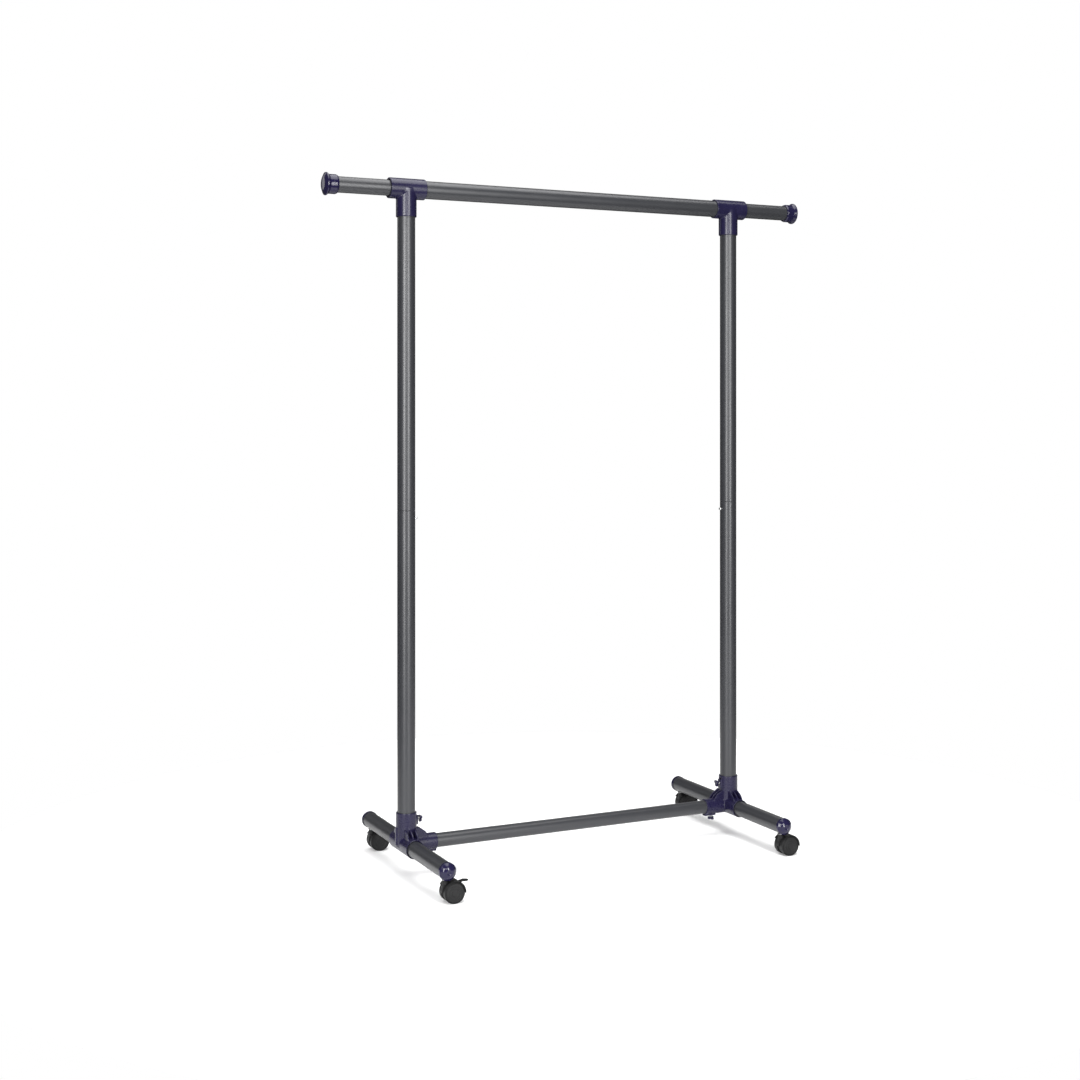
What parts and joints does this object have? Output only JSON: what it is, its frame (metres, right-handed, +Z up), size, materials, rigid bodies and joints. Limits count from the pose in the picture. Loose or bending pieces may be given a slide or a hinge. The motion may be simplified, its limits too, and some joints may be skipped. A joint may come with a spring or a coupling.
{
  "type": "rolling clothes rack",
  "caption": "Free-standing garment rack: telescopic hanging rail on tube posts with plastic connectors, cross legs, a low crossbar and swivelling twin-wheel casters.",
  "frame": {"origin": "on the floor, midway between the two posts and straight under the rail", "axes": "+Z up, +X along the hanging rail to the right, -Y to the front"},
  "size_m": [1.17, 0.486, 1.478],
  "materials": {
    "tube_coating": "dark grey satin powder coat on thin steel tube",
    "connector_plastic": "glossy dark navy moulded plastic",
    "caster_plastic": "satin black moulded nylon",
    "wheel_plastic": "satin black moulded wheel with turned rings",
    "zinc_steel": "bright zinc-plated steel",
    "glide_plastic": "natural white polyethylene"
  },
  "bodies": {
    "frame": {"main_rail": "tube_coating", "crossbar": "tube_coating", "tee_left": "connector_plastic", "upper_post_left": "tube_coating", "lower_post_left": "tube_coating", "button_spring_left": "zinc_steel", "base_connector_left": "connector_plastic", "leg_left": "tube_coating", "post_nut_left": "zinc_steel", "crossbar_nut_left": "zinc_steel", "tee_right": "connector_plastic", "upper_post_right": "tube_coating", "lower_post_right": "tube_coating", "button_spring_right": "zinc_steel", "base_connector_right": "connector_plastic", "leg_right": "tube_coating", "post_nut_right": "zinc_steel", "crossbar_nut_right": "zinc_steel", "leg_cap_front_left": "connector_plastic", "stem_socket_front_left": "caster_plastic", "caster_stem_front_left": "zinc_steel", "leg_cap_front_right": "connector_plastic", "stem_socket_front_right": "caster_plastic", "caster_stem_front_right": "zinc_steel", "leg_cap_rear_left": "connector_plastic", "stem_socket_rear_left": "caster_plastic", "caster_stem_rear_left": "zinc_steel", "leg_cap_rear_right": "connector_plastic", "stem_socket_rear_right": "caster_plastic", "caster_stem_rear_right": "zinc_steel"},
    "rail_extension_left": {"rail_extension_left": "tube_coating", "extension_glide_left": "glide_plastic", "rail_end_cap_left": "connector_plastic"},
    "snap_button_left": {"snap_button_left": "zinc_steel"},
    "post_screw_left": {"post_screw_left": "connector_plastic"},
    "crossbar_screw_left": {"crossbar_screw_left": "connector_plastic"},
    "rail_extension_right": {"rail_extension_right": "tube_coating", "extension_glide_right": "glide_plastic", "rail_end_cap_right": "connector_plastic"},
    "snap_button_right": {"snap_button_right": "zinc_steel"},
    "post_screw_right": {"post_screw_right": "connector_plastic"},
    "crossbar_screw_right": {"crossbar_screw_right": "connector_plastic"},
    "caster_front_left": {"caster_hood_front_left": "caster_plastic", "caster_axle_front_left": "zinc_steel"},
    "brake_lever_front_left": {"brake_lever_front_left": "caster_plastic"},
    "wheel_outer_front_left": {"wheel_outer_front_left": "wheel_plastic"},
    "wheel_inner_front_left": {"wheel_inner_front_left": "wheel_plastic"},
    "caster_front_right": {"caster_hood_front_right": "caster_plastic", "caster_axle_front_right": "zinc_steel"},
    "wheel_outer_front_right": {"wheel_outer_front_right": "wheel_plastic"},
    "wheel_inner_front_right": {"wheel_inner_front_right": "wheel_plastic"},
    "caster_rear_left": {"caster_hood_rear_left": "caster_plastic", "caster_axle_rear_left": "zinc_steel"},
    "wheel_outer_rear_left": {"wheel_outer_rear_left": "wheel_plastic"},
    "wheel_inner_rear_left": {"wheel_inner_rear_left": "wheel_plastic"},
    "caster_rear_right": {"caster_hood_rear_right": "caster_plastic", "caster_axle_rear_right": "zinc_steel"},
    "brake_lever_rear_right": {"brake_lever_rear_right": "caster_plastic"},
    "wheel_outer_rear_right": {"wheel_outer_rear_right": "wheel_plastic"},
    "wheel_inner_rear_right": {"wheel_inner_rear_right": "wheel_plastic"}
  },
  "joints": [
    {"name": "rail_left_slide", "type": "slide", "parent": "frame", "child": "rail_extension_left", "axis": [-1, 0, 0], "range_m": [-0.113, 0.15]},
    {"name": "snap_left_press", "type": "hinge", "parent": "frame", "child": "snap_button_left", "pos_m": [-0.3849, 0, 0.712], "axis": [0, -1, 0], "range_deg": [0, 8.2], "stiffness_Nm_per_rad": 1.5, "springref_deg": -4.98},
    {"name": "post_screw_left_turn", "type": "hinge", "parent": "frame", "child": "post_screw_left", "pos_m": [-0.37, 0, 0.118], "axis": [1, 0, 0], "range_deg": [0, 360]},
    {"name": "crossbar_screw_left_turn", "type": "hinge", "parent": "frame", "child": "crossbar_screw_left", "pos_m": [-0.354, 0, 0.045], "axis": [0, 0, -1], "range_deg": [0, 360]},
    {"name": "rail_right_slide", "type": "slide", "parent": "frame", "child": "rail_extension_right", "axis": [1, 0, 0], "range_m": [-0.113, 0.15]},
    {"name": "snap_right_press", "type": "hinge", "parent": "frame", "child": "snap_button_right", "pos_m": [0.3849, 0, 0.712], "axis": [0, 1, 0], "range_deg": [0, 8.2], "stiffness_Nm_per_rad": 1.5, "springref_deg": -4.98},
    {"name": "post_screw_right_turn", "type": "hinge", "parent": "frame", "child": "post_screw_right", "pos_m": [0.37, 0, 0.118], "axis": [-1, 0, 0], "range_deg": [0, 360]},
    {"name": "crossbar_screw_right_turn", "type": "hinge", "parent": "frame", "child": "crossbar_screw_right", "pos_m": [0.354, 0, 0.045], "axis": [0, 0, -1], "range_deg": [0, 360]},
    {"name": "swivel_front_left", "type": "hinge", "parent": "frame", "child": "caster_front_left", "pos_m": [-0.4, -0.219, 0.04], "axis": [0, 0, 1], "continuous": true},
    {"name": "wheel_outer_front_left_spin", "type": "hinge", "parent": "caster_front_left", "child": "wheel_outer_front_left", "pos_m": [-0.385, -0.219, 0.02173], "axis": [0, 1, 0], "continuous": true},
    {"name": "wheel_inner_front_left_spin", "type": "hinge", "parent": "caster_front_left", "child": "wheel_inner_front_left", "pos_m": [-0.385, -0.219, 0.02173], "axis": [0, 1, 0], "continuous": true},
    {"name": "brake_front_left_press", "type": "hinge", "parent": "caster_front_left", "child": "brake_lever_front_left", "pos_m": [-0.37, -0.219, 0.037], "axis": [0, 1, 0], "range_deg": [0, 14]},
    {"name": "swivel_front_right", "type": "hinge", "parent": "frame", "child": "caster_front_right", "pos_m": [0.4, -0.219, 0.04], "axis": [0, 0, 1], "continuous": true},
    {"name": "wheel_outer_front_right_spin", "type": "hinge", "parent": "caster_front_right", "child": "wheel_outer_front_right", "pos_m": [0.415, -0.219, 0.02173], "axis": [0, 1, 0], "continuous": true},
    {"name": "wheel_inner_front_right_spin", "type": "hinge", "parent": "caster_front_right", "child": "wheel_inner_front_right", "pos_m": [0.415, -0.219, 0.02173], "axis": [0, 1, 0], "continuous": true},
    {"name": "swivel_rear_left", "type": "hinge", "parent": "frame", "child": "caster_rear_left", "pos_m": [-0.4, 0.219, 0.04], "axis": [0, 0, 1], "continuous": true},
    {"name": "wheel_outer_rear_left_spin", "type": "hinge", "parent": "caster_rear_left", "child": "wheel_outer_rear_left", "pos_m": [-0.385, 0.219, 0.02173], "axis": [0, 1, 0], "continuous": true},
    {"name": "wheel_inner_rear_left_spin", "type": "hinge", "parent": "caster_rear_left", "child": "wheel_inner_rear_left", "pos_m": [-0.385, 0.219, 0.02173], "axis": [0, 1, 0], "continuous": true},
    {"name": "swivel_rear_right", "type": "hinge", "parent": "frame", "child": "caster_rear_right", "pos_m": [0.4, 0.219, 0.04], "axis": [0, 0, 1], "continuous": true},
    {"name": "wheel_outer_rear_right_spin", "type": "hinge", "parent": "caster_rear_right", "child": "wheel_outer_rear_right", "pos_m": [0.415, 0.219, 0.02173], "axis": [0, 1, 0], "continuous": true},
    {"name": "wheel_inner_rear_right_spin", "type": "hinge", "parent": "caster_rear_right", "child": "wheel_inner_rear_right", "pos_m": [0.415, 0.219, 0.02173], "axis": [0, 1, 0], "continuous": true},
    {"name": "brake_rear_right_press", "type": "hinge", "parent": "caster_rear_right", "child": "brake_lever_rear_right", "pos_m": [0.43, 0.219, 0.037], "axis": [0, 1, 0], "range_deg": [0, 14]}
  ]
}
